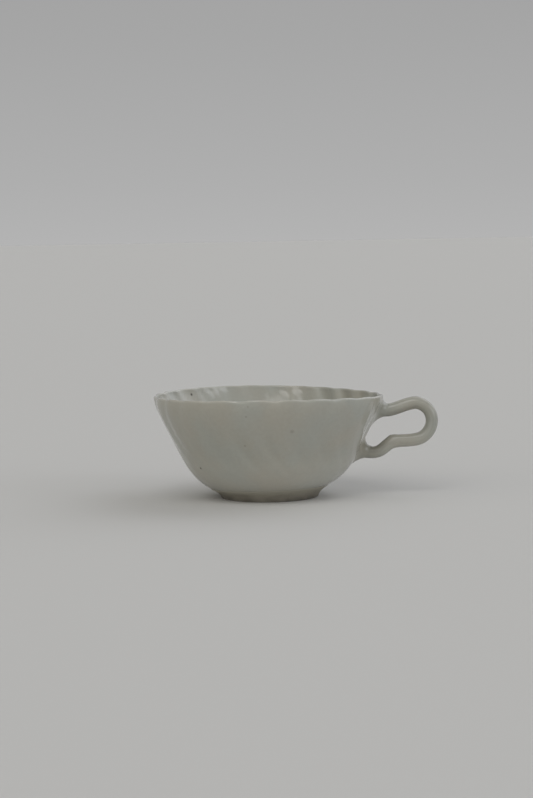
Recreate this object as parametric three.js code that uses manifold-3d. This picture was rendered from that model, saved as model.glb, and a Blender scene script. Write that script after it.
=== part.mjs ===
// A small porcelain cup with swept flutes. A thin bowl, a foot ring and a looped rod handle are three
// pieces of clay, and slip joins them: a film between ring and bowl, and a collar at each end of the rod.
// Millimetres, +Z up, handle along +X. The origin is on the table, midway along the cup's length.
import * as THREE from "three";
import { mergeVertices } from "three/addons/utils/BufferGeometryUtils.js";
import Module from "manifold-3d";

// Bowl, outside, before the flutes are pressed in
const RIM_HEIGHT = 42.6; // table to the mean top of the lip
const RIM_RADIUS = 47.15;
const BELLY_HEIGHT = 16.5; // where the round belly runs into the straight wall
const BELLY_RADIUS = 36;
const SEAT_SLOPE = 28; // degrees above the table, leaving the seat
const WALL_SLOPE = 64; // degrees above the table, at the top of the belly
const LIP_SLOPE = 88; // degrees above the table, at the lip
const WALL_EASE = 16; // length over which the wall keeps its slope above the belly
const LIP_EASE = 4.5; // length over which the wall turns upright below the lip

// Bowl, thickness of clay
const RIM_WALL = 1.35;
const BELLY_WALL = 2.5;
const FLOOR_THICKNESS = 3.2;
const WELL_EASE = 8; // length over which the inside keeps its slope below the belly
const WELL_FLAT = 15; // radius over which the floor stays nearly flat

// Flutes, pressed through the whole wall
const FLUTE_COUNT = 24;
const FLUTE_DEPTH = 0.5; // crest to groove
const FLUTE_FULL_HEIGHT = 38; // height above which they have their full depth
const FLUTE_UPRIGHT_HEIGHT = 31.6; // height at which they stand straight, between their two sweeps
const FLUTE_SWEEP = 36; // degrees that they swing between that height and the foot
const FLUTE_START = 4; // degrees from the handle to the next crest, at that height
const FLUTE_CROWDING = 0.08; // how far they crowd towards one side, in radians
const GROOVE_SHARPNESS = 0.2; // 0 is an even wave, more gives broad crests and narrow grooves

// Lip: each groove ends in a notch, and drying has warped the whole lip
const NOTCH_DEPTH = 0.3;
const SADDLE = 0.5; // rise over the middle of the sides, and fall at the handle and opposite it
const LIP_WARP = 0.55; // fall on the handle's side and rise opposite it, most on the side of +Y
const LIP_BAND = 16; // depth below the lip over which notches and warp die away

// Foot ring
const FOOT_HEIGHT = 3.8;
const FOOT_TOP_RADIUS = 23.9;
const FOOT_TAPER = 3.7; // how much narrower the ring is where it stands
const FOOT_RISE = 72; // degrees above the table, where the ring's outside leaves the standing face
const SEAT_MARGIN = 0.3; // how much wider the bowl's seat is than the ring's top
const FOOT_WIDTH = 3; // width of the face that stands on the table, edges included
const FOOT_EDGE = 0.45; // rounding of that face's edges
const FOOT_DRAFT = 0.5; // how much further in the ring's inside is at its top

// Handle: one rod of clay, bent to a loop
const ROD_DIAMETER = 5.2;
const UPPER_JOIN_DROP = 7.5; // middle of the rod's upper end below the lip
const JOIN_SPAN = 17.25; // from the upper end down to the lower end
const LOOP_RADIUS = 7.7; // to the middle of the rod
const LOOP_OUT = 12.5; // middle of the loop beyond the rim
const LOOP_DROP = 4.9; // middle of the loop below the upper end
const ARM_LEVEL = 5; // length of the upper arm that leaves the wall level
const ELBOW_OUT = 3.2; // elbow of the lower arm beyond the rim
const ELBOW_DROP = 0.8; // elbow below the bottom of the loop
const ANKLE_OUT = 8; // where the lower arm comes level again, from the wall

// Slip joints
const FILM = 0.3; // slip between the foot ring and its seat
const JOINT_GAP = 0.3; // slip between the rod and the wall, and round the rod inside its collars
const COLLAR_SPREAD = 2.4; // how far a collar spreads over the wall round the rod
const COLLAR_LENGTH = 3.6; // how far it runs out along the rod
const COLLAR_TIP = 0.25; // its thickness where it ends

// Fineness of the meshes
const STEPS_PER_FLUTE = 6;
const BELLY_STEPS = 5;
const WALL_STEPS = 8;
const LIP_STEPS = 3;
const WELL_STEPS = 6;
const FOOT_STEPS = 72;
const EDGE_STEPS = 3;
const FLARE_STEPS = 4;
const ROD_SIDES = 12;
const ROD_STEPS = 56;
const ARC_POINTS = 6;
const COLLAR_SIDES = 24;
const COLLAR_STEPS = 4;

const wasm = await Module();
wasm.setup();

// Solids: three.js geometry in and out of manifold-3d, for the cuts

function toSolid(geometry) {
  const bare = geometry.clone();
  bare.deleteAttribute("normal");
  bare.deleteAttribute("uv");
  const merged = mergeVertices(bare);
  return new wasm.Manifold(
    new wasm.Mesh({
      numProp: 3,
      vertProperties: merged.getAttribute("position").array,
      triVerts: new Uint32Array(merged.index.array),
    }),
  );
}

function toGeometry(solid) {
  const mesh = solid.getMesh();
  const geometry = new THREE.BufferGeometry();
  geometry.setAttribute("position", new THREE.BufferAttribute(mesh.vertProperties, 3));
  geometry.setIndex(new THREE.BufferAttribute(mesh.triVerts, 1));
  geometry.computeVertexNormals();
  return geometry;
}

// Profiles: half sections with x as the radius and y as the height

const radians = THREE.MathUtils.degToRad;
const at = (radius, height) => new THREE.Vector2(radius, height);
const heading = (degrees) => at(Math.cos(radians(degrees)), Math.sin(radians(degrees)));
const along = (start, direction, length) => start.clone().addScaledVector(direction, length);
const outward = (tangent) => at(tangent.y, -tangent.x);

function meeting(p, u, q, v) {
  const share = q.clone().sub(p).cross(v) / u.cross(v);
  return along(p, u, share);
}

// A turned shape about the Z axis, from a profile that ends on the axis or closes on itself.
function turned(profile, steps) {
  return new THREE.LatheGeometry(profile, steps).rotateX(Math.PI / 2);
}

const upperJoin = RIM_HEIGHT - UPPER_JOIN_DROP;
const lowerJoin = upperJoin - JOIN_SPAN;
const footBottomRadius = FOOT_TOP_RADIUS - FOOT_TAPER;
const seatHeight = FOOT_HEIGHT + FILM;
const floorHeight = seatHeight + FLOOR_THICKNESS;
const seat = at(FOOT_TOP_RADIUS + SEAT_MARGIN, seatHeight);
const belly = at(BELLY_RADIUS, BELLY_HEIGHT);
const lip = at(RIM_RADIUS, RIM_HEIGHT - RIM_WALL / 2);
const bellyTurn = meeting(seat, heading(SEAT_SLOPE), belly, heading(WALL_SLOPE));
const bellyCurve = new THREE.QuadraticBezierCurve(seat, bellyTurn, belly);
const wallCurve = new THREE.CubicBezierCurve(
  belly,
  along(belly, heading(WALL_SLOPE), WALL_EASE),
  along(lip, heading(LIP_SLOPE), -LIP_EASE),
  lip,
);

// Points of the outside, from the seat to the lip, moved out by a clearance.
function outside(clearance = 0) {
  const points = [];
  for (const [curve, steps] of [[bellyCurve, BELLY_STEPS], [wallCurve, WALL_STEPS]]) {
    for (let i = points.length ? 1 : 0; i <= steps; i++) {
      points.push(along(curve.getPoint(i / steps), outward(curve.getTangent(i / steps)), clearance));
    }
  }
  return points;
}

function outsideRadius(height) {
  const points = outside();
  const above = Math.max(1, points.findIndex((point) => point.y >= height));
  const [low, high] = [points[above - 1], points[above]];
  return THREE.MathUtils.mapLinear(height, low.y, high.y, low.x, high.x);
}

function lipPoints() {
  const tangent = heading(LIP_SLOPE);
  const middle = along(lip, outward(tangent), -RIM_WALL / 2);
  const points = [];
  for (let i = 1; i < LIP_STEPS; i++) {
    const turn = (Math.PI * i) / LIP_STEPS;
    const across = along(middle, outward(tangent), (Math.cos(turn) * RIM_WALL) / 2);
    points.push(along(across, tangent, (Math.sin(turn) * RIM_WALL) / 2));
  }
  return points;
}

// Points of the inside, from the lip down the wall, then over the well to the axis.
function inside() {
  const points = [];
  for (let i = WALL_STEPS; i >= 0; i--) {
    const share = i / WALL_STEPS;
    const wall = THREE.MathUtils.lerp(BELLY_WALL, RIM_WALL, share);
    points.push(along(wallCurve.getPoint(share), outward(wallCurve.getTangent(share)), -wall));
  }
  const wellTop = points.at(-1);
  const well = new THREE.CubicBezierCurve(
    wellTop,
    along(wellTop, heading(WALL_SLOPE), -WELL_EASE),
    at(WELL_FLAT, floorHeight),
    at(0, floorHeight),
  );
  return [...points, ...well.getPoints(WELL_STEPS).slice(1)];
}

// Flutes

// Height of the wave across one flute, 1 from crest to groove.
function fluteWave(phase) {
  return (Math.cos(phase) - GROOVE_SHARPNESS * Math.cos(2 * phase)) / 2;
}

// Presses flutes, notches and warp into a turned shape: each point moves with the flute that it lies
// on, and the flutes swing round the axis with their height.
function pressFlutes(geometry) {
  const points = geometry.getAttribute("position");
  for (let i = 0; i < points.count; i++) {
    const [x, y, z] = [points.getX(i), points.getY(i), points.getZ(i)];
    const turn = Math.atan2(y, x);
    const wave = fluteWave(FLUTE_COUNT * (turn - FLUTE_CROWDING * Math.cos(turn)));
    const lean = (z - FLUTE_UPRIGHT_HEIGHT) / (FLUTE_UPRIGHT_HEIGHT - seatHeight);
    const angle = turn + radians(FLUTE_START + FLUTE_SWEEP * lean * lean);
    const depth = FLUTE_DEPTH * THREE.MathUtils.smoothstep(z, seatHeight, FLUTE_FULL_HEIGHT);
    const nearLip = THREE.MathUtils.smoothstep(z, RIM_HEIGHT - LIP_BAND, RIM_HEIGHT);
    const radius = Math.hypot(x, y) + (Math.hypot(x, y) > 0 ? depth * wave : 0);
    const warp = SADDLE * Math.cos(2 * angle) + LIP_WARP * Math.cos(angle) * (1 + Math.sin(angle));
    const rise = nearLip * (NOTCH_DEPTH * wave - warp);
    points.setXYZ(i, radius * Math.cos(angle), radius * Math.sin(angle), z + rise);
  }
  return geometry;
}

const fluteSteps = FLUTE_COUNT * STEPS_PER_FLUTE;

function bowl() {
  const profile = [at(0, seatHeight), ...outside(), ...lipPoints(), ...inside()];
  return pressFlutes(turned(profile, fluteSteps));
}

// The space inside the bowl's outside, with a clearance, for shaping what is luted to the wall.
function wallCutter(clearance) {
  const skin = outside(clearance);
  const profile = [at(0, skin[0].y), ...skin, at(0, skin.at(-1).y)];
  return toSolid(pressFlutes(turned(profile, fluteSteps)));
}

// Foot

// The ring's outside is hollow: it rises from the standing face and flares into the line of the bowl.
function footRing() {
  const innerBottom = footBottomRadius - FOOT_WIDTH;
  const edge = (x, from) => {
    const points = [];
    for (let i = 0; i <= EDGE_STEPS; i++) {
      const turn = radians(from + (90 * i) / EDGE_STEPS);
      points.push(along(at(x, FOOT_EDGE), at(Math.cos(turn), Math.sin(turn)), FOOT_EDGE));
    }
    return points;
  };
  const flareTop = at(FOOT_TOP_RADIUS, FOOT_HEIGHT);
  const flareFoot = at(footBottomRadius, FOOT_EDGE);
  const flareTurn = meeting(flareFoot, heading(FOOT_RISE), flareTop, heading(SEAT_SLOPE));
  const flare = new THREE.QuadraticBezierCurve(flareFoot, flareTurn, flareTop);
  const profile = [
    at(innerBottom - FOOT_DRAFT, FOOT_HEIGHT),
    ...edge(innerBottom + FOOT_EDGE, 180),
    ...edge(footBottomRadius - FOOT_EDGE, 270),
    ...flare.getPoints(FLARE_STEPS).slice(1),
    at(innerBottom - FOOT_DRAFT, FOOT_HEIGHT),
  ];
  return turned(profile, FOOT_STEPS);
}

// The film of slip that fills the joint between the ring's top and the bowl's seat.
function footFilm() {
  const [inner, outer] = [footBottomRadius - FOOT_WIDTH - FOOT_DRAFT, FOOT_TOP_RADIUS];
  const profile = [
    at(inner, FOOT_HEIGHT),
    at(outer, FOOT_HEIGHT),
    at(outer, seatHeight),
    at(inner, seatHeight),
    at(inner, FOOT_HEIGHT),
  ];
  return turned(profile, FOOT_STEPS);
}

// Handle

// The rod's middle line, from inside the wall at the upper join to inside it at the lower join.
function rodPath() {
  const place = (x, z) => new THREE.Vector3(x, 0, z);
  const upperWall = outsideRadius(upperJoin);
  const lowerWall = outsideRadius(lowerJoin);
  const loop = place(RIM_RADIUS + LOOP_OUT, upperJoin - LOOP_DROP);
  const arc = [];
  for (let i = 0; i <= ARC_POINTS; i++) {
    const turn = radians(90 - (180 * i) / ARC_POINTS);
    arc.push(place(loop.x + LOOP_RADIUS * Math.cos(turn), loop.z + LOOP_RADIUS * Math.sin(turn)));
  }
  return new THREE.CatmullRomCurve3([
    place(upperWall - ROD_DIAMETER, upperJoin),
    place(upperWall, upperJoin),
    place(upperWall + ARM_LEVEL, upperJoin),
    ...arc,
    place(RIM_RADIUS + ELBOW_OUT, loop.z - LOOP_RADIUS - ELBOW_DROP),
    place(lowerWall + ANKLE_OUT, lowerJoin),
    place(lowerWall, lowerJoin),
    place(lowerWall - ROD_DIAMETER, lowerJoin),
  ]);
}

function rod(clearance = 0) {
  const section = new THREE.Shape().absarc(0, 0, ROD_DIAMETER / 2 + clearance, 0, 2 * Math.PI);
  return new THREE.ExtrudeGeometry(section, {
    extrudePath: rodPath(),
    steps: ROD_STEPS,
    curveSegments: ROD_SIDES / 2,
  });
}

function handle() {
  return toGeometry(toSolid(rod()).subtract(wallCutter(JOINT_GAP)));
}

// A collar of slip round one end of the rod. Its section is turned about the rod, and slanted so that its
// foot lies along the wall. Wall and rod are then cut out of it, with the gap that the slip film takes.
function collar(height) {
  const bore = ROD_DIAMETER / 2 + JOINT_GAP;
  const profile = [at(0, -ROD_DIAMETER), at(bore + COLLAR_SPREAD, -ROD_DIAMETER)];
  for (let i = 0; i <= COLLAR_STEPS; i++) {
    const turn = (Math.PI / 2) * (i / COLLAR_STEPS);
    const spread = COLLAR_TIP + (COLLAR_SPREAD - COLLAR_TIP) * (1 - Math.sin(turn));
    profile.push(at(bore + spread, COLLAR_LENGTH * (1 - Math.cos(turn))));
  }
  profile.push(at(0, COLLAR_LENGTH));
  const half = ROD_DIAMETER / 2;
  const run = outsideRadius(height + half) - outsideRadius(height - half);
  const wallUp = new THREE.Vector3(run / ROD_DIAMETER, 0, 1);
  const placed = new THREE.Matrix4()
    .makeBasis(wallUp, new THREE.Vector3(1, 0, 0), new THREE.Vector3(0, 1, 0))
    .setPosition(outsideRadius(height), 0, height);
  const blank = toSolid(new THREE.LatheGeometry(profile, COLLAR_SIDES).applyMatrix4(placed));
  return toGeometry(blank.subtract(wallCutter(JOINT_GAP)).subtract(toSolid(rod(JOINT_GAP))));
}

// The cup

const GLAZE = { color: 0xa8a79d, roughness: 0.1, metalness: 0 };
const BARE_CLAY = { color: 0x9c9383, roughness: 0.65, metalness: 0 };

function piece(name, geometry, finish) {
  const mesh = new THREE.Mesh(geometry, new THREE.MeshStandardMaterial(finish));
  mesh.name = name;
  return mesh;
}

const cup = new THREE.Group();
cup.add(
  piece("bowl", bowl(), GLAZE),
  piece("foot_ring", footRing(), BARE_CLAY),
  piece("foot_ring_slip_film", footFilm(), BARE_CLAY),
  piece("handle", handle(), GLAZE),
  piece("upper_handle_slip_collar", collar(upperJoin), GLAZE),
  piece("lower_handle_slip_collar", collar(lowerJoin), GLAZE),
);
const box = new THREE.Box3().setFromObject(cup);
cup.position.x = -(box.min.x + box.max.x) / 2;

export default cup;
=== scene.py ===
# %% [markdown]
# # A fluted porcelain cup
# The cup is three pieces of clay under one glaze: a thin bowl whose wall was pressed into flutes, a low
# foot ring, and a rod bent to a loop for the handle. Slip, which is clay thinned to a cream, joins them.
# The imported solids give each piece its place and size. This lesson makes the finer shapes and the finishes.

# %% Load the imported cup
import math

import bmesh
import bpy
from mathutils import Matrix, Vector
from mathutils.bvhtree import BVHTree
from mathutils.geometry import interpolate_bezier, intersect_line_line


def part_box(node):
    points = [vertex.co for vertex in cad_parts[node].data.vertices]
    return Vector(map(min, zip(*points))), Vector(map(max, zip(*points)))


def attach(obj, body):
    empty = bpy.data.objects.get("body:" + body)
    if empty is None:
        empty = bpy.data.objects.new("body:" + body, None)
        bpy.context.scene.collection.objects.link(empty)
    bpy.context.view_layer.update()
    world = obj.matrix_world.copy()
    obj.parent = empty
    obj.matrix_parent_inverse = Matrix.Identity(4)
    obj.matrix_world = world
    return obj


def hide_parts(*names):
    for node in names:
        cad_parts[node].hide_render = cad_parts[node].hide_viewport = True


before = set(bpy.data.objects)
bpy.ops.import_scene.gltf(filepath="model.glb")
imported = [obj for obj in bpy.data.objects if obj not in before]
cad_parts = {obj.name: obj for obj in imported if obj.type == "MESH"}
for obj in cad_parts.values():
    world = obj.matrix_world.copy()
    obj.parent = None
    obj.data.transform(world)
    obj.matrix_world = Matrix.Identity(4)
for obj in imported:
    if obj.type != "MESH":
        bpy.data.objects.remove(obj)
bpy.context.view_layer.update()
print("solids:", sorted(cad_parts))

# %% [markdown]
# ## Where the cup's axis is
# The frame's origin is midway along the whole cup, handle included, so the axis of the bowl lies to one
# side of it. The foot ring is round about that axis, and its box gives the place. Every piece below is
# drawn in millimetres about the axis, and one matrix then takes it into the frame.

# %% From the potter's millimetres to the frame
MM = 0.001
foot_low, foot_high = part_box("foot_ring")
axis = Vector(((foot_low.x + foot_high.x) / 2, (foot_low.y + foot_high.y) / 2, 0))
INTO_FRAME = Matrix.Translation(axis) @ Matrix.Scale(MM, 4)
print("axis of the bowl at x =", round(axis.x / MM, 2), "mm")

# %% [markdown]
# ## The camera
# The photograph was taken from a little above the lip with a long lens, and the picture leans by one
# degree. The eye's place and its three turns were solved from the rim, the foot and the handle, so the
# camera is written as those numbers and not aimed by hand.

# %% Place the camera
EYE = Vector((0, -822, 106))
YAW = math.radians(-0.0506)
PITCH = math.radians(-4.558)
LEAN = math.radians(1.004)
LENS = 90
camera = bpy.data.objects.new("camera", bpy.data.cameras.new("camera"))
camera.data.lens = LENS
camera.data.clip_start = 0.01
camera.data.clip_end = 400
aim = Matrix.Rotation(-YAW, 4, "Z") @ Matrix.Rotation(math.pi / 2 + PITCH, 4, "X")
camera.matrix_world = Matrix.Translation(INTO_FRAME @ EYE) @ aim @ Matrix.Rotation(-LEAN, 4, "Z")
bpy.context.scene.collection.objects.link(camera)
bpy.context.scene.camera = camera
print("camera", round(EYE.length), "mm from the foot of the axis")

# %% [markdown]
# ## Colours and nodes
# A colour picked from a picture is coded for the screen, and a shader wants amounts of light, so one
# function turns a hex colour into those amounts. A second adds a node: its settings are given by name, and
# each input is either a value or the output of another node. A pattern's scale is a number of repeats per
# metre, so a third function works it out from a size in millimetres.

# %% Helpers for every finish


def to_linear(hex_colour):
    levels = [int(hex_colour[i:i + 2], 16) / 255 for i in (1, 3, 5)]
    return [v / 12.92 if v <= 0.04045 else ((v + 0.055) / 1.055) ** 2.4 for v in levels] + [1]


def add(tree, kind, inputs, **settings):
    node = tree.nodes.new(kind)
    for name, value in settings.items():
        setattr(node, name, value)
    for socket, value in inputs.items():
        if isinstance(value, bpy.types.NodeSocket):
            tree.links.new(value, node.inputs[socket])
        else:
            node.inputs[socket].default_value = value
    return node


def per_metre(millimetres):
    return 1 / (millimetres * MM)


# %% [markdown]
# ## The glaze
# Porcelain is white clay with a little iron, and its glaze is a glass that shows the clay through. Where
# the glass runs thin, on the lip and low on the belly, the clay looks paler. Where it gathers, in the
# troughs inside and round the joints, it looks darker and greener. Each glazed piece carries that depth as
# an attribute, from 0 for thin to 1 for deep, and the attribute carries painted light and shade as well:
# paler for light on the low belly and inside, darker for shade in the troughs and creases, and by facing on
# the handle. The kiln adds cloudy patches some centimetres wide, a fine grain and a few specks of iron, and
# a brush left streaks along the handle. The surface is satin: smooth glass that swells slowly and has the
# faint unevenness called orange peel.

# %% Colours and sizes in the glaze
THIN_GLAZE = "#C4C2B8"
EVEN_GLAZE = "#A8A79D"
POOLED_GLAZE = "#8E8C80"
DEEP_GLAZE = "#6B6857"
EVEN_STOP, POOLED_STOP = 0.45, 0.8
WARM_CLOUD = "#ABA597"
COOL_CLOUD = "#A3A8A2"
CLOUD_SIZE, CLOUD_SHARE = 17, 0.35
GRAIN_SIZE = 1.4
GRAIN_SHADES = {"To Min": 0.975, "To Max": 1.02}
STREAK_WIDTH, STREAK_LENGTH = 0.9, 14
STREAK_SHADES = {"To Min": 0.9, "To Max": 1.1}
PEEL_SIZE, PEEL_HEIGHT = 2.4, 0.02
SWELL_SIZE, SWELL_HEIGHT = 7, 0.06
SATIN = {"To Min": 0.05, "To Max": 0.1}
IRON = "#45423C"
SPECK_SPACING, SPECK_RADIUS = 12, 0.3
SPECK_RARITY, SPECK_STRENGTH = 0.62, 0.55
GLAZE_IOR = 1.52
COLOUR_A, COLOUR_B, COLOUR_OUT = 6, 7, 2

# %% The glaze's nodes, up to the shader


def glaze(name, specks):
    material = bpy.data.materials.new(name)
    material.use_nodes = True
    tree = material.node_tree
    place = add(tree, "ShaderNodeTexCoord", {}).outputs["Object"]
    # The depth attribute brings painted light and shade along with the glaze's real depth.
    depth = add(tree, "ShaderNodeAttribute", {}, attribute_name="glaze_depth_and_shading").outputs["Fac"]
    tone = add(tree, "ShaderNodeValToRGB", {"Fac": depth})
    tone.color_ramp.elements[0].color = to_linear(THIN_GLAZE)
    tone.color_ramp.elements[1].color = to_linear(DEEP_GLAZE)
    tone.color_ramp.elements.new(EVEN_STOP).color = to_linear(EVEN_GLAZE)
    tone.color_ramp.elements.new(POOLED_STOP).color = to_linear(POOLED_GLAZE)

    # Clouds drift between a warm and a cool grey.
    cloud = add(tree, "ShaderNodeTexNoise",
                {"Vector": place, "Scale": per_metre(CLOUD_SIZE), "Detail": 3}).outputs["Fac"]
    drift = add(tree, "ShaderNodeMapRange", {"Value": cloud, "From Min": 0.36, "From Max": 0.64})
    clouds = add(tree, "ShaderNodeMix",
                 {0: drift.outputs[0], COLOUR_A: to_linear(WARM_CLOUD), COLOUR_B: to_linear(COOL_CLOUD)},
                 data_type="RGBA")
    body = add(tree, "ShaderNodeMix",
               {0: CLOUD_SHARE, COLOUR_A: tone.outputs[0], COLOUR_B: clouds.outputs[COLOUR_OUT]},
               data_type="RGBA")

    # The grain is real but finer than a pixel, so it is drawn a little coarse.
    grain = add(tree, "ShaderNodeTexNoise",
                {"Vector": place, "Scale": per_metre(GRAIN_SIZE), "Detail": 4}).outputs["Fac"]
    shade = add(tree, "ShaderNodeMapRange",
                {"Value": grain, "From Min": 0.3, "From Max": 0.7, **GRAIN_SHADES})
    grained = add(tree, "ShaderNodeMix",
                  {0: 1, COLOUR_A: body.outputs[COLOUR_OUT], COLOUR_B: shade.outputs[0]},
                  data_type="RGBA", blend_type="MULTIPLY")

    # Streaks follow the rod by an attribute of its own, which is zero on the other pieces.
    along = add(tree, "ShaderNodeAttribute", {}, attribute_name="streak_place").outputs["Vector"]
    streaks = add(tree, "ShaderNodeTexNoise", {"Vector": along, "Scale": 1, "Detail": 2}).outputs["Fac"]
    brush = add(tree, "ShaderNodeMapRange",
                {"Value": streaks, "From Min": 0.25, "From Max": 0.75, **STREAK_SHADES})
    streaked = add(tree, "ShaderNodeMix",
                   {0: 1, COLOUR_A: grained.outputs[COLOUR_OUT], COLOUR_B: brush.outputs[0]},
                   data_type="RGBA", blend_type="MULTIPLY")

    # One cell in a few holds a faint speck of iron, and the specks given have a place of their own.
    cells = add(tree, "ShaderNodeTexVoronoi", {"Vector": place, "Scale": per_metre(SPECK_SPACING)})
    edge = SPECK_RADIUS / SPECK_SPACING
    near = add(tree, "ShaderNodeMapRange",
               {"Value": cells.outputs["Distance"], "From Min": 1.2 * edge, "From Max": 0.3 * edge})
    pick = add(tree, "ShaderNodeSeparateColor", {0: cells.outputs["Color"]})
    rare = add(tree, "ShaderNodeMapRange",
               {"Value": pick.outputs[0], "From Min": SPECK_RARITY, "To Max": SPECK_STRENGTH})
    speck = add(tree, "ShaderNodeMath", {0: near.outputs[0], 1: rare.outputs[0]}, operation="MULTIPLY")
    for point, radius, strength in specks:
        away = add(tree, "ShaderNodeVectorMath", {0: place, 1: INTO_FRAME @ point}, operation="DISTANCE")
        spot = add(tree, "ShaderNodeMapRange",
                   {"Value": away.outputs["Value"], "From Min": radius * MM,
                    "From Max": 0.3 * radius * MM, "To Max": strength})
        speck = add(tree, "ShaderNodeMath", {0: speck.outputs[0], 1: spot.outputs[0]},
                    operation="MAXIMUM")
    colour = add(tree, "ShaderNodeMix",
                 {0: speck.outputs[0], COLOUR_A: streaked.outputs[COLOUR_OUT], COLOUR_B: to_linear(IRON)},
                 data_type="RGBA")

    # Satin glass: a fairly low roughness that wanders, a slow swell and a shallow orange peel.
    satin = add(tree, "ShaderNodeMapRange", {"Value": cloud, "From Min": 0.3, "From Max": 0.7, **SATIN})
    swell = add(tree, "ShaderNodeTexNoise",
                {"Vector": place, "Scale": per_metre(SWELL_SIZE), "Detail": 0})
    slow = add(tree, "ShaderNodeBump", {"Height": swell.outputs["Fac"], "Distance": SWELL_HEIGHT * MM})
    peel = add(tree, "ShaderNodeTexNoise", {"Vector": place, "Scale": per_metre(PEEL_SIZE), "Detail": 2})
    bump = add(tree, "ShaderNodeBump",
               {"Height": peel.outputs["Fac"], "Distance": PEEL_HEIGHT * MM, "Normal": slow.outputs[0]})
    shader = tree.nodes["Principled BSDF"]
    shader.inputs["IOR"].default_value = GLAZE_IOR
    tree.links.new(colour.outputs[COLOUR_OUT], shader.inputs["Base Color"])
    tree.links.new(satin.outputs[0], shader.inputs["Roughness"])
    tree.links.new(bump.outputs[0], shader.inputs["Normal"])
    return material


# %% [markdown]
# ## The bowl's section
# A thrown bowl is a turned shape, so half of its section says it all. The outside leaves the seat on the
# foot ring at a low slope, rounds the belly, and rises in a wall that turns upright at the lip. Two Bezier
# curves give that line with a few slopes that a potter could check with a card. The inside is the same
# line, one wall's thickness in, and a last curve makes the well.

# %% The outside of the section
RIM_HEIGHT, RIM_RADIUS = 42.6, 47.15
BELLY_HEIGHT, BELLY_RADIUS = 16.5, 36
SEAT_HEIGHT, SEAT_RADIUS = 4.1, 24.2
SEAT_SLOPE, WALL_SLOPE, LIP_SLOPE = 28, 64, 88
WALL_EASE, LIP_EASE = 16, 4.5
RIM_WALL, BELLY_WALL = 1.35, 2.5
FLOOR_HEIGHT, WELL_EASE, WELL_FLAT = 7.3, 8, 15
BELLY_ROWS, WALL_ROWS, LIP_ROWS, WELL_ROWS = 14, 26, 9, 14


def heading(slope):
    return Vector((math.cos(math.radians(slope)), 0, math.sin(math.radians(slope))))


seat = Vector((SEAT_RADIUS, 0, SEAT_HEIGHT))
belly = Vector((BELLY_RADIUS, 0, BELLY_HEIGHT))
lip = Vector((RIM_RADIUS, 0, RIM_HEIGHT - RIM_WALL / 2))
corner = intersect_line_line(seat, seat + heading(SEAT_SLOPE), belly, belly + heading(WALL_SLOPE))[0]
belly_line = interpolate_bezier(seat, seat.lerp(corner, 2 / 3), belly.lerp(corner, 2 / 3), belly,
                                BELLY_ROWS)
wall_line = interpolate_bezier(belly, belly + WALL_EASE * heading(WALL_SLOPE),
                               lip - LIP_EASE * heading(LIP_SLOPE), lip, WALL_ROWS)
outside = belly_line[:-1] + wall_line

# %% The lip and the inside of the section


def outward(points, i):
    along = (points[min(i + 1, len(points) - 1)] - points[max(i - 1, 0)]).normalized()
    return Vector((along.z, 0, -along.x))


inner_wall = []
for i, point in enumerate(wall_line):
    thickness = BELLY_WALL + (RIM_WALL - BELLY_WALL) * i / (len(wall_line) - 1)
    inner_wall.append(point - thickness * outward(wall_line, i))
lip_middle = (lip + inner_wall[-1]) / 2
lip_across = (lip - inner_wall[-1]) / 2
lip_up = Vector((-lip_across.z, 0, lip_across.x))
lip_turns = [math.pi * i / LIP_ROWS for i in range(1, LIP_ROWS)]
lip_line = [lip_middle + math.cos(t) * lip_across + math.sin(t) * lip_up for t in lip_turns]
well_line = interpolate_bezier(inner_wall[0], inner_wall[0] - WELL_EASE * heading(WALL_SLOPE),
                               Vector((WELL_FLAT, 0, FLOOR_HEIGHT)), Vector((0, 0, FLOOR_HEIGHT)),
                               WELL_ROWS)
bowl_section = [Vector((0, 0, SEAT_HEIGHT))] + outside + lip_line + inner_wall[::-1] + well_line[1:]
print("bowl section:", len(bowl_section), "points")

# %% [markdown]
# ## Turning
# Spin sweeps the section once round the axis, as a wheel does. Its last copy has to be merged with the
# first, and so have the points on the axis. Then the normals are recalculated, because spin doesn't know
# which side of the section is clay.

# %% Turn a section about the axis


def turned(section, steps, closed=False):
    shape = bmesh.new()
    points = [shape.verts.new(point) for point in section]
    pairs = list(zip(points, points[1:] + points[:1] if closed else points[1:]))
    lines = [shape.edges.new(pair) for pair in pairs]
    bmesh.ops.spin(shape, geom=points + lines, axis=(0, 0, 1), angle=math.tau, steps=steps,
                   use_merge=True)
    bmesh.ops.remove_doubles(shape, verts=shape.verts, dist=0.001)
    bmesh.ops.recalc_face_normals(shape, faces=shape.faces)
    return shape


# %% [markdown]
# ## The flutes
# The potter pressed each flute through the soft wall with a finger or a rib, from the lip down to the
# foot, so crest and groove show inside and out, and each groove ends in a notch in the lip. The flutes
# swing round the axis as they go down. A texture could paint them, but the light on the wall and the wavy
# lip come from their shape, so the points are moved: the columns of the mesh follow the flutes, and each
# point goes in or out with a wave that has broad crests and narrow grooves. By hand no two are the same,
# so depth and spacing wander, drying has warped and tilted the lip, and the foot was set on a slant.

# %% Sizes of the flutes, and the warp of lip and seat
FLUTES = 24
OUTSIDE_DEPTH, INSIDE_DEPTH = 0.45, 0.6
FLUTE_FULL_HEIGHT, FLUTE_UPRIGHT_HEIGHT = 38, 31.6
FLUTE_SWEEP, FLUTE_START = math.radians(36), math.radians(4)
GROOVE_SHARPNESS = 0.2
FLUTE_CROWDING = 0.08
NOTCH_DEPTH, LIP_BAND = 0.4, 16
SADDLE, WARP, TILT = 0.5, 0.55, 0.37
SEAT_SLANT = 1


def eased(value, low, high):
    share = min(1, max(0, (value - low) / (high - low)))
    return share * share * (3 - 2 * share)


def by_handle(angle):
    return eased(math.cos(angle), -0.5, 0.7)


def slanted_seat(angle):
    return SEAT_SLANT * (0.5 * math.cos(angle) - 0.8 * math.sin(angle))


def lip_warp(angle):
    warp = -SADDLE * math.cos(2 * angle) - WARP * math.cos(angle) * (1 + math.sin(angle))
    return warp - TILT * math.sin(angle)


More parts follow.
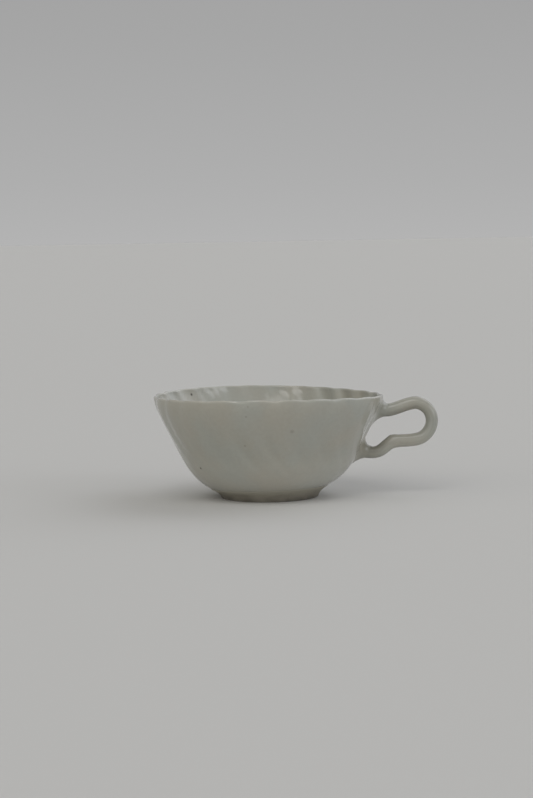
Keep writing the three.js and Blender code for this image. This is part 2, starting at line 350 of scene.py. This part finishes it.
# %% [markdown]
# Beside the handle a thumb held the wall while the handle was set, and pressed it flat. The flat shows as
# a bright band that runs down the wall. It is given by bearings from the handle in degrees, and heights.

# %% The flat beside the handle
FLAT_DEPTH = 0.55
FLAT_EDGE, FLAT_STEP, FLAT_END, FLAT_SWING = -25.5, 3.5, -4, 7
FLAT_LOW, FLAT_BEND, FLAT_FADE = 23, 30, 4


def thumb_flat(bearing, height):
    edge = FLAT_EDGE + FLAT_SWING * (1 - eased(height, FLAT_LOW, FLAT_BEND))
    across = eased(bearing, edge, edge + FLAT_STEP)
    across *= 1 - eased(bearing, edge + 2 * FLAT_STEP, FLAT_END)
    upright = eased(height, FLAT_LOW - FLAT_FADE, FLAT_LOW + 1)
    upright *= 1 - eased(height, RIM_HEIGHT - FLAT_FADE, RIM_HEIGHT)
    return FLAT_DEPTH * across * upright


# %% [markdown]
# While it melted, the glaze ran off the lip, so the lip is paler, and by the handle the lip is drawn less
# pale: painted shade over its bright corner. It lies evenly on the wall. The low belly is drawn paler, more
# so on the handle's side: thin glaze, and painted light from the floor below. Inside, away from the handle,
# it is drawn a little paler, which is painted light, and on the handle's side it is drawn deep in the
# troughs: pooled glaze, and painted shade of the flutes.

# %% How deep the glaze lies on the bowl
EVEN_DEPTH = 0.47
LIP_THIN, LIP_THIN_SHADED_BY_HANDLE = 0.65, 0.3
BELLY_THIN_AND_LIT, BELLY_PAINTED_LIGHT_SWING, BELLY_THIN_AND_LIT_HEIGHT = 0.42, 0.12, 22
TROUGH_POOL_AND_SHADE, INSIDE_PAINTED_LIGHT = 0.65, 0.12


def bowl_glaze_and_painted_light(angle, height, inside, trough):
    # By the handle the pale lip is dimmed with painted shade.
    lip_thin = LIP_THIN + by_handle(angle) * (LIP_THIN_SHADED_BY_HANDLE - LIP_THIN)
    lip_thin *= eased(height, RIM_HEIGHT - 0.8, RIM_HEIGHT - 0.1)
    # The paler low belly is thin glaze and painted light from below, more on the handle's side.
    belly_thin_and_lit = BELLY_THIN_AND_LIT + BELLY_PAINTED_LIGHT_SWING * math.cos(angle)
    belly_thin_and_lit *= 1 - eased(height, SEAT_HEIGHT, BELLY_THIN_AND_LIT_HEIGHT)
    # Deep troughs by the handle are pooled glaze and painted shade; the paler inside elsewhere is painted
    # light.
    pool_and_painted_shading = by_handle(angle) * TROUGH_POOL_AND_SHADE * trough - (1 - by_handle(angle)) * INSIDE_PAINTED_LIGHT
    return (EVEN_DEPTH + inside * pool_and_painted_shading - (1 - inside) * belly_thin_and_lit) * (1 - lip_thin)


# %% Press the flutes


def press_flutes(shape):
    shape.normal_update()
    glaze_depth_and_shading = shape.verts.layers.float.new("glaze_depth_and_shading")
    for vert in shape.verts:
        turn = math.atan2(vert.co.y, vert.co.x)
        radius, height = vert.co.xy.length, vert.co.z
        inside = eased(-vert.normal.xy.dot(vert.co.xy.normalized()), -0.5, 0.5)
        lean = (height - FLUTE_UPRIGHT_HEIGHT) / (FLUTE_UPRIGHT_HEIGHT - SEAT_HEIGHT)
        angle = turn + FLUTE_START + FLUTE_SWEEP * lean * lean
        phase = FLUTES * (turn - FLUTE_CROWDING * math.cos(turn)) + 0.35 * math.sin(5 * turn + 1)
        wave = (math.cos(phase) - GROOVE_SHARPNESS * math.cos(2 * phase)) / 2
        uneven = 1 + 0.2 * math.sin(3 * turn + 0.4) + 0.25 * math.sin(7 * turn + 2)
        pressed = OUTSIDE_DEPTH + inside * by_handle(angle) * (INSIDE_DEPTH - OUTSIDE_DEPTH)
        depth = pressed * uneven * eased(height, SEAT_HEIGHT, FLUTE_FULL_HEIGHT)
        trough = max(0, wave + 0.1) * depth / INSIDE_DEPTH
        vert[glaze_depth_and_shading] = bowl_glaze_and_painted_light(angle, height, inside, trough)
        notch = NOTCH_DEPTH * uneven * (0.6 - 0.4 * math.sin(angle))
        rise = (1 - eased(height, SEAT_HEIGHT, BELLY_HEIGHT)) * slanted_seat(angle)
        rise += eased(height, RIM_HEIGHT - LIP_BAND, RIM_HEIGHT) * (notch * wave + lip_warp(angle))
        if radius > 0:
            radius += depth * wave - (1 - inside) * thumb_flat(math.degrees(angle), height)
        vert.co = (radius * math.cos(angle), radius * math.sin(angle), height + rise)


# %% Make the bowl
COLUMNS_PER_FLUTE = 16
bowl_shape = turned(bowl_section, FLUTES * COLUMNS_PER_FLUTE)
press_flutes(bowl_shape)
bmesh.ops.recalc_face_normals(bowl_shape, faces=bowl_shape.faces)
bowl_wall = BVHTree.FromBMesh(bowl_shape)
print("bowl:", len(bowl_shape.verts), "points")

# %% [markdown]
# ## Setting a piece in the frame
# A finished shape goes from millimetres about the axis into the frame, gets smooth shading and its finish,
# rides on the one body of this part, and stands for its solid, which stays hidden for collisions.

# %% Settle a shape as a piece


def settle(shape, name, finish, node):
    bmesh.ops.transform(shape, matrix=INTO_FRAME, verts=shape.verts)
    mesh = bpy.data.meshes.new(name)
    shape.to_mesh(mesh)
    shape.free()
    mesh.shade_smooth()
    mesh.set_sharp_from_angle(angle=math.radians(60))
    mesh.materials.append(finish)
    piece = bpy.data.objects.new(name, mesh)
    bpy.context.scene.collection.objects.link(piece)
    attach(piece, "root")
    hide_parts(node)
    size = [round(side / MM, 1) for side in piece.dimensions]
    print(name, size, "mm,", len(mesh.polygons), "faces")
    return piece


# %% [markdown]
# A few grains of iron stand out in the glaze, so these have places of their own. Each place is pulled onto
# the pressed wall, because a speck that floats off the surface would not show.

# %% Glaze the bowl: a speck has a place about the axis, a radius and a strength
BOWL_SPECKS = [
    ((-32.8, 31.2, 40.5), 0.75, 0.95),
    ((-27.7, -21.1, 14.6), 0.7, 0.95),
    ((9.1, -41.9, 30.8), 1.1, 0.22),
    ((-9.5, -39.2, 25.2), 0.6, 0.25),
    ((-8.8, -45.1, 37.2), 0.6, 0.22),
    ((-8.0, -46.5, 41.2), 0.5, 0.2),
]
specks = []
for point, radius, strength in BOWL_SPECKS:
    on_wall = bowl_wall.find_nearest(Vector(point))[0]
    specks.append((on_wall, radius, strength))
porcelain_glaze = glaze("satin_porcelain_glaze", specks)
settle(bowl_shape, "porcelain_bowl", porcelain_glaze, "bowl")

# %% [markdown]
# ## The foot ring
# The ring lifts the bowl off the table. It was turned from leather-hard clay, so its outside is a hollow
# flare and its standing face has soft edges. Glaze would weld the cup to the kiln shelf, so the ring was
# wiped bare, up to a thin film of glaze at its top. Its clay is browner and rougher than the glaze. Towards
# where it stands it is drawn darker: dirt that bare clay takes up, and painted shade where it meets the
# table, which climbs higher on the ring's two sides. The ring carries its height as an attribute, which
# sets the dark band and the film, and a noise makes the band's edge wander.

# %% Bare clay for the foot
CLAY = "#A9A596"
CLAY_PATCH = "#9A9587"
CLAY_DIRT_AND_SHADE = "#5D584F"
CLAY_ROUGHNESS = 0.65
CLAY_PATCH_SIZE = 6
GRIT_SIZE, GRIT_HEIGHT = 0.9, 0.04
DIRT_AND_SHADE_HEIGHT = 3.2
GLAZE_END, GLAZE_START, GLAZE_SHARE = 2.6, 4.4, 0.4
bare_clay = bpy.data.materials.new("wiped_porcelain_clay")
bare_clay.use_nodes = True
tree = bare_clay.node_tree
place = add(tree, "ShaderNodeTexCoord", {}).outputs["Object"]
height = add(tree, "ShaderNodeAttribute", {}, attribute_name="ring_height").outputs["Fac"]
patches = add(tree, "ShaderNodeTexNoise",
              {"Vector": place, "Scale": per_metre(CLAY_PATCH_SIZE), "Detail": 3})
clay = add(tree, "ShaderNodeMix", {0: patches.outputs["Fac"], COLOUR_A: to_linear(CLAY),
                                   COLOUR_B: to_linear(CLAY_PATCH)}, data_type="RGBA")
# Darker towards the standing face: dirt, and painted shade where the ring meets the table.
edge = add(tree, "ShaderNodeMath", {0: patches.outputs["Fac"], 1: DIRT_AND_SHADE_HEIGHT, 2: height},
           operation="MULTIPLY_ADD")
dirt_and_shade = add(tree, "ShaderNodeMapRange", {"Value": edge.outputs[0], "From Min": 1.5 * DIRT_AND_SHADE_HEIGHT,
                                        "From Max": 0.4 * DIRT_AND_SHADE_HEIGHT})
soiled_and_shaded = add(tree, "ShaderNodeMix", {0: dirt_and_shade.outputs[0], COLOUR_A: clay.outputs[COLOUR_OUT],
                                     COLOUR_B: to_linear(CLAY_DIRT_AND_SHADE)}, data_type="RGBA")
film = add(tree, "ShaderNodeMapRange",
           {"Value": height, "From Min": GLAZE_END, "From Max": GLAZE_START, "To Max": GLAZE_SHARE})
filmed = add(tree, "ShaderNodeMix", {0: film.outputs[0], COLOUR_A: soiled_and_shaded.outputs[COLOUR_OUT],
                                     COLOUR_B: to_linear(THIN_GLAZE)}, data_type="RGBA")
grit = add(tree, "ShaderNodeTexNoise", {"Vector": place, "Scale": per_metre(GRIT_SIZE), "Detail": 3})
bump = add(tree, "ShaderNodeBump", {"Height": grit.outputs["Fac"], "Distance": GRIT_HEIGHT * MM})
shader = tree.nodes["Principled BSDF"]
shader.inputs["Roughness"].default_value = CLAY_ROUGHNESS
tree.links.new(filmed.outputs[COLOUR_OUT], shader.inputs["Base Color"])
tree.links.new(bump.outputs[0], shader.inputs["Normal"])

# %% Turn the foot ring
FOOT_HEIGHT, FOOT_TOP_RADIUS, FOOT_BOTTOM_RADIUS = 3.8, 23.9, 20.2
FOOT_RISE, FLARE_ROWS = 72, 10
FOOT_WIDTH, FOOT_DRAFT, FOOT_EDGE = 3, 0.5, 0.45
ROUND_STEPS = 5
RING_STEPS = 144
SIDE_PAINTED_SHADE = 0.8


def rounded_edge(middle, first_turn):
    turns = [first_turn + math.pi / 2 * i / ROUND_STEPS for i in range(ROUND_STEPS + 1)]
    return [middle + FOOT_EDGE * Vector((math.cos(t), 0, math.sin(t))) for t in turns]


inner_bottom = FOOT_BOTTOM_RADIUS - FOOT_WIDTH
foot_section = [Vector((inner_bottom - FOOT_DRAFT, 0, FOOT_HEIGHT))]
foot_section += rounded_edge(Vector((inner_bottom + FOOT_EDGE, 0, FOOT_EDGE)), math.pi)
foot_section += rounded_edge(Vector((FOOT_BOTTOM_RADIUS - FOOT_EDGE, 0, FOOT_EDGE)), 1.5 * math.pi)
flare_start = foot_section[-1]
flare_end = Vector((FOOT_TOP_RADIUS, 0, FOOT_HEIGHT))
flare_corner = intersect_line_line(flare_start, flare_start + heading(FOOT_RISE),
                                   flare_end, flare_end + heading(SEAT_SLOPE))[0]
foot_section += interpolate_bezier(flare_start, flare_start.lerp(flare_corner, 2 / 3),
                                   flare_end.lerp(flare_corner, 2 / 3), flare_end, FLARE_ROWS)[1:]


# The ring's two sides get more painted shade, so the dark band climbs higher there.
def slant(shape):
    ring_height = shape.verts.layers.float.new("ring_height")
    for vert in shape.verts:
        angle = math.atan2(vert.co.y, vert.co.x)
        vert[ring_height] = vert.co.z - SIDE_PAINTED_SHADE * math.cos(angle) ** 2
        vert.co.z += min(1, vert.co.z / FOOT_HEIGHT) * slanted_seat(angle)


foot_shape = turned(foot_section, RING_STEPS, closed=True)
slant(foot_shape)
settle(foot_shape, "porcelain_foot_ring", bare_clay, "foot_ring")

# %% [markdown]
# ## The slip between foot and bowl
# Slip was brushed between ring and bowl, and a bead of it squeezed out and was wiped round with a finger.
# It was wiped bare with the ring. It is a thin turned ring whose outer side is a low bead, which covers the
# line where ring and bowl meet.

# %% Turn the slip fillet
BEAD, BEAD_ROWS, BEAD_OVERLAP = 0.12, 7, 0.5
FILM_INSET, FILM_SQUEEZE = 1.2, 0.02
underside = heading(SEAT_SLOPE)
bead_start = flare_end - BEAD_OVERLAP * underside
bead_end = seat + BEAD_OVERLAP * underside
bead_top = (bead_start + bead_end) / 2 + 2 * BEAD * Vector((underside.z, 0, -underside.x))
film_inner = inner_bottom - FOOT_DRAFT
film_outer = FOOT_TOP_RADIUS - FILM_INSET
film_section = [Vector((film_inner, 0, FOOT_HEIGHT)), Vector((film_outer, 0, FOOT_HEIGHT - FILM_SQUEEZE))]
film_section += interpolate_bezier(bead_start, bead_start.lerp(bead_top, 2 / 3),
                                   bead_end.lerp(bead_top, 2 / 3), bead_end, BEAD_ROWS)
film_section += [Vector((film_outer, 0, SEAT_HEIGHT + FILM_SQUEEZE)), Vector((film_inner, 0, SEAT_HEIGHT))]
film_shape = turned(film_section, RING_STEPS, closed=True)
slant(film_shape)
settle(film_shape, "foot_slip_fillet", bare_clay, "foot_ring_slip_film")

# %% [markdown]
# ## The handle
# The handle is one rod, rolled by hand and bent while it was soft. It leaves the wall level, climbs into
# a round loop, comes back, and drops at a pinched elbow to a second level end. A tube that follows a curve
# would do, but the rod isn't even: it is stout at the joints and drawn thin round the bend. So a circle is
# extruded from station to station along the middle line, and each station has its own thickness.

# %% The rod's middle line
UPPER_JOIN, LOWER_JOIN = 35.1, 17.85
LOOP_X, LOOP_Z, LOOP_RADIUS, LOOP_LEAN = 59.8, 30.2, 7.7, 0.35
ELBOW_KNOT = Vector((51.05, 0, 21.7))
LOW_KNOT = Vector((44.95, 0, LOWER_JOIN))
UPPER_SUNK, LOWER_SUNK = 0.1, 1.2
ROOT_LEVEL, UPPER_LEVEL = 1, 5
ARC_KNOTS = 6
STATIONS_PER_SPAN = 6


def wall_face(across, height):
    return bowl_wall.ray_cast(Vector((90, across, height)), Vector((-1, 0, 0)))[0].x


upper_wall = wall_face(0, UPPER_JOIN)
lower_wall = wall_face(0, LOWER_JOIN)
knots = [Vector((upper_wall + x, 0, UPPER_JOIN)) for x in (-UPPER_SUNK, ROOT_LEVEL, UPPER_LEVEL)]
for i in range(ARC_KNOTS + 1):
    bend = math.pi / 2 - math.pi * i / ARC_KNOTS
    x = LOOP_X + LOOP_RADIUS * math.cos(bend) + LOOP_LEAN * math.sin(bend)
    knots.append(Vector((x, 0, LOOP_Z + LOOP_RADIUS * math.sin(bend))))
knots += [ELBOW_KNOT, LOW_KNOT]
knots += [Vector((lower_wall + x, 0, LOWER_JOIN)) for x in (ROOT_LEVEL, -LOWER_SUNK)]
line = []
for i in range(len(knots) - 1):
    start, end = knots[i], knots[i + 1]
    before, after = knots[max(i - 1, 0)], knots[min(i + 2, len(knots) - 1)]
    reach = (end - start).length / 3
    leave = start + reach * (end - before).normalized()
    arrive = end - reach * (after - start).normalized()
    line += interpolate_bezier(start, leave, arrive, end, STATIONS_PER_SPAN + 1)[:-1]
line.append(knots[-1])
print("rod:", len(line), "stations, joints at", round(upper_wall, 1), "and", round(lower_wall, 1), "mm")

# %% Extrude the rod
ROD_SIDES = 32
ARM_THICKNESS, BEND_THICKNESS, UPPER_ROOT, LOWER_ROOT = 5.3, 5.1, 5.5, 4.9
ROOT_X, ARM_X = 43, 52


def rod_thickness(point):
    at_bend = eased(point.x, LOOP_X, LOOP_X + LOOP_RADIUS)
    at_root = 1 - eased(point.x, ROOT_X, ARM_X)
    root = UPPER_ROOT if point.z > (UPPER_JOIN + LOWER_JOIN) / 2 else LOWER_ROOT
    return ARM_THICKNESS + at_bend * (BEND_THICKNESS - ARM_THICKNESS) + at_root * (root - ARM_THICKNESS)


def station(i):
    along = (line[min(i + 1, len(line) - 1)] - line[max(i - 1, 0)]).normalized()
    sideways = Vector((0, 1, 0))
    across = along.cross(sideways)
    half = rod_thickness(line[i]) / 2
    return Matrix.LocRotScale(line[i], Matrix((sideways, across, sideways.cross(across))).transposed(),
                              Vector((half, half, half)))


rod_shape = bmesh.new()
bmesh.ops.create_circle(rod_shape, radius=1, segments=ROD_SIDES)
ring_edges = list(rod_shape.edges)
streak_place = rod_shape.verts.layers.float_vector.new("streak_place")
for vert in rod_shape.verts:
    vert[streak_place] = vert.co * (ARM_THICKNESS / 2 / STREAK_WIDTH)
bmesh.ops.transform(rod_shape, matrix=station(0), verts=rod_shape.verts)
travelled = 0
for i in range(1, len(line)):
    grown = bmesh.ops.extrude_edge_only(rod_shape, edges=ring_edges)["geom"]
    ring_verts = [part for part in grown if isinstance(part, bmesh.types.BMVert)]
    ring_edges = [part for part in grown if isinstance(part, bmesh.types.BMEdge)]
    bmesh.ops.transform(rod_shape, matrix=station(i) @ station(i - 1).inverted(), verts=ring_verts)
    travelled += (line[i] - line[i - 1]).length
    for vert in ring_verts:
        vert[streak_place] = (*vert[streak_place].xy, travelled / STREAK_LENGTH)
bmesh.ops.holes_fill(rod_shape, edges=[e for e in rod_shape.edges if e.is_boundary])
bmesh.ops.recalc_face_normals(rod_shape, faces=rod_shape.faces)

# %% [markdown]
# Where the lower arm turns down, a fingertip pinched the clay into a blunt corner. It is a small swelling
# on the upper side, so the points near that place are pushed out along their normals. The glaze is drawn
# deeper along the upper arm and round the bend. On the upper arm the top is drawn paler and the underside
# darker: glaze that ran down, and painted light and shade. On the lower arm it is the other way round, which
# is painted light from the floor below. The lower arm's root is drawn deepest: pooled glaze, and painted
# shade where rod and wall meet.

# %% Pinch the elbow
ELBOW = Vector((50.8, 0, 24.4))
PINCH, PINCH_WIDTH = 0.6, 1.6
ROD_DEPTH, UPPER_ARM_POOL, BEND_POOL, LOWER_ROOT_POOL_AND_SHADE = 0.5, 0.13, 0.08, 0.3
LOWER_ARM_PAINTED_UNDERLIGHT, UPPER_ARM_RUN_AND_SHADE = 0.17, -0.1


def rod_glaze_and_painted_light(point, facing_up):
    upper_arm = eased(point.z, 24, 34)
    lower_root = (1 - upper_arm) * (1 - eased(point.x, ROOT_X, ARM_X - 1))
    at_bend = eased(point.x, LOOP_X - 4, LOOP_X + LOOP_RADIUS)
    # The lower root's pool is pooled glaze and painted shade where rod and wall meet.
    even = ROD_DEPTH + UPPER_ARM_POOL * upper_arm + BEND_POOL * at_bend + LOWER_ROOT_POOL_AND_SHADE * lower_root
    # The facing term is painted light and shade: the lower arm's underside paler, the upper arm's darker.
    return even + facing_up * (LOWER_ARM_PAINTED_UNDERLIGHT + upper_arm * (UPPER_ARM_RUN_AND_SHADE - LOWER_ARM_PAINTED_UNDERLIGHT))


rod_shape.normal_update()
rod_depth_and_shading = rod_shape.verts.layers.float.new("glaze_depth_and_shading")
for vert in rod_shape.verts:
    vert[rod_depth_and_shading] = rod_glaze_and_painted_light(vert.co, vert.normal.z)
    vert.co += PINCH * math.exp(-((vert.co - ELBOW).length / PINCH_WIDTH) ** 2) * vert.normal
settle(rod_shape, "porcelain_handle", porcelain_glaze, "handle")

# %% [markdown]
# ## The collars
# At each end of the rod the potter worked slip round the joint with a wet brush, so rod and wall flow into
# each other, more so underneath. A bevel can't do this, because rod and bowl are separate pieces. The
# collar starts as a circle on the rod and is extruded in steps towards the wall. Each point then moves to
# a Bezier curve that leaves the rod along the rod and meets the wall along the wall, which a ray finds.
# Midway the glaze is drawn deeper, most on top: pooled glaze, and painted shade in the crease.

# %% Work a collar of slip round a joint
COLLAR_SIDES, COLLAR_ROWS = 64, 16
SUNK, BURIED = 0.02, 0.8
HOLLOW_ABOVE, HOLLOW_BELOW = 1.6, 2


def collar(height, half, reach, spread, pool_and_painted_shading):
    shape = bmesh.new()
    bmesh.ops.create_circle(shape, radius=half, segments=COLLAR_SIDES)
    ring = list(shape.edges)
    row = shape.verts.layers.int.new("row")
    bearing = shape.verts.layers.float.new("bearing")
    depth = shape.verts.layers.float.new("glaze_depth_and_shading")
    for vert in shape.verts:
        vert[bearing] = math.atan2(vert.co.y, vert.co.x)
    for i in range(1, COLLAR_ROWS + 2):
        grown = bmesh.ops.extrude_edge_only(shape, edges=ring)["geom"]
        ring = [part for part in grown if isinstance(part, bmesh.types.BMEdge)]
        for part in grown:
            if isinstance(part, bmesh.types.BMVert):
                part[row] = i
    for vert in shape.verts:
        side, up = math.sin(vert[bearing]), math.cos(vert[bearing])
        below = eased(-up, -1, 1)
        out = half + spread[0] + below * (spread[1] - spread[0])
        root = Vector((wall_face(half * side, height + half * up), half * side, height + half * up))
        wall_end = Vector((wall_face(out * side, height + out * up) - SUNK,
                           out * side, height + out * up))
        rod_end = root + Vector((reach[0] + below * (reach[1] - reach[0]), -SUNK * side, -SUNK * up))
        share = min(1, vert[row] / COLLAR_ROWS)
        hollow = HOLLOW_ABOVE + below * (HOLLOW_BELOW - HOLLOW_ABOVE)
        vert.co = root + (1 - share) ** hollow * (rod_end - root) + share ** hollow * (wall_end - root)
        on_rod = rod_glaze_and_painted_light(rod_end, up)
        # Deeper glaze midway round the joint: pooled glaze, and painted shade in the crease.
        pool_and_shade = pool_and_painted_shading * (0.6 + 0.4 * up) * math.sin(math.pi * share) ** 2
        vert[depth] = on_rod + share * (EVEN_DEPTH - on_rod) + pool_and_shade
        if vert[row] > COLLAR_ROWS:
            vert.co = root - Vector((BURIED, BURIED * side, BURIED * up))
    bmesh.ops.bridge_loops(shape, edges=[edge for edge in shape.edges if edge.is_boundary])
    bmesh.ops.recalc_face_normals(shape, faces=shape.faces)
    return shape


upper_collar = collar(UPPER_JOIN, UPPER_ROOT / 2, reach=(3, 5.5), spread=(3, 6.5), pool_and_painted_shading=0.3)
settle(upper_collar, "upper_slip_collar", porcelain_glaze, "upper_handle_slip_collar")
lower_collar = collar(LOWER_JOIN, LOWER_ROOT / 2, reach=(4.5, 5.5), spread=(5, 6), pool_and_painted_shading=0.25)
settle(lower_collar, "lower_slip_collar", porcelain_glaze, "lower_handle_slip_collar")

# %% [markdown]
# ## The floor
# The cup stood on pale grey paper. A large flat sheet takes its shadow, and it runs on to the horizon, so
# no wall gets in the way when the cup is looked at from behind.

# %% Lay the paper
PAPER = "#CFCECB"
PAPER_REACH = 150
paper_shape = bmesh.new()
bmesh.ops.create_grid(paper_shape, x_segments=1, y_segments=1, size=PAPER_REACH)
paper_mesh = bpy.data.meshes.new("paper_floor")
paper_shape.to_mesh(paper_mesh)
paper_shape.free()
paper_floor = bpy.data.objects.new("paper_floor", paper_mesh)
bpy.context.scene.collection.objects.link(paper_floor)
paper = bpy.data.materials.new("matt_grey_paper")
paper.use_nodes = True
paper_shader = paper.node_tree.nodes["Principled BSDF"]
paper_shader.inputs["Base Color"].default_value = to_linear(PAPER)
paper_shader.inputs["Roughness"].default_value = 0.9
paper_shader.inputs["Specular IOR Level"].default_value = 0.1
paper_mesh.materials.append(paper)

# %% [markdown]
# ## The light
# It is the light of a room by day: broad and cool from the right, weak from behind, wide and plain from the
# front, and a little warmer from the left, so no edge of a shadow is sharp. Three narrow panes are bright,
# because a glaze shows windows as highlights. Lamps are not needed for that. The world is the room, and it
# is brighter in some directions: each light is a glow round its own direction, added to an even grey that
# also serves as the backdrop. The levels are set so that the paper gets about as much light as makes a
# colour render as it is written.

# %% The room's even grey
GREY_STOPS = [(0.0, 0.452), (0.03, 0.425), (0.12, 0.368), (0.35, 0.27), (1.0, 0.18)]
world = bpy.data.worlds.new("room_with_a_window")
bpy.context.scene.world = world
world.use_nodes = True
tree = world.node_tree
direction = add(tree, "ShaderNodeTexCoord", {}).outputs["Generated"]
climb = add(tree, "ShaderNodeSeparateXYZ", {0: direction}).outputs["Z"]
grey = add(tree, "ShaderNodeValToRGB", {"Fac": climb})
for position, level in GREY_STOPS[1:-1]:
    grey.color_ramp.elements.new(position)
for element, (position, level) in zip(grey.color_ramp.elements, GREY_STOPS):
    element.position = position
    element.color = (level, level, level, 1)
light = grey.outputs[0]

# %% The glows: bearing from the handle, elevation and half width in degrees, level, colour
DAYLIGHT, ROOM_LIGHT, PLAIN_LIGHT = "#F5F8FF", "#FFFAED", "#FFFFFF"
GLOWS = [
    (10, 38, 45, 0.34, DAYLIGHT),
    (40, 34, 44, 0.86, DAYLIGHT),
    (-30, 19, 18, 2.3, DAYLIGHT),
    (90, 45, 40, 0.27, PLAIN_LIGHT),
    (-90, 8, 85, 0.37, PLAIN_LIGHT),
    (-112, 34, 13, 2.2, PLAIN_LIGHT),
    (-101, 57, 17, 2.3, PLAIN_LIGHT),
    (-150, 30, 40, 0.53, ROOM_LIGHT),
]
for bearing, elevation, width, level, colour in GLOWS:
    flat = math.cos(math.radians(elevation))
    toward = Vector((flat * math.cos(math.radians(bearing)), flat * math.sin(math.radians(bearing)),
                     math.sin(math.radians(elevation))))
    facing = add(tree, "ShaderNodeVectorMath", {0: direction, 1: toward}, operation="DOT_PRODUCT")
    glow = add(tree, "ShaderNodeMapRange", {"Value": facing.outputs["Value"],
                                            "From Min": math.cos(math.radians(width)), "To Max": level},
               interpolation_type="SMOOTHSTEP")
    light = add(tree, "ShaderNodeVectorMath", {0: glow.outputs[0], 1: to_linear(colour)[:3], 2: light},
                operation="MULTIPLY_ADD").outputs[0]
tree.links.new(light, tree.nodes["Background"].inputs["Color"])

# %% [markdown]
# ## Finish
# The picture is shown with the plain Standard view, so colours come out as they are written.

# %% Finish
bpy.context.scene.view_settings.view_transform = "Standard"
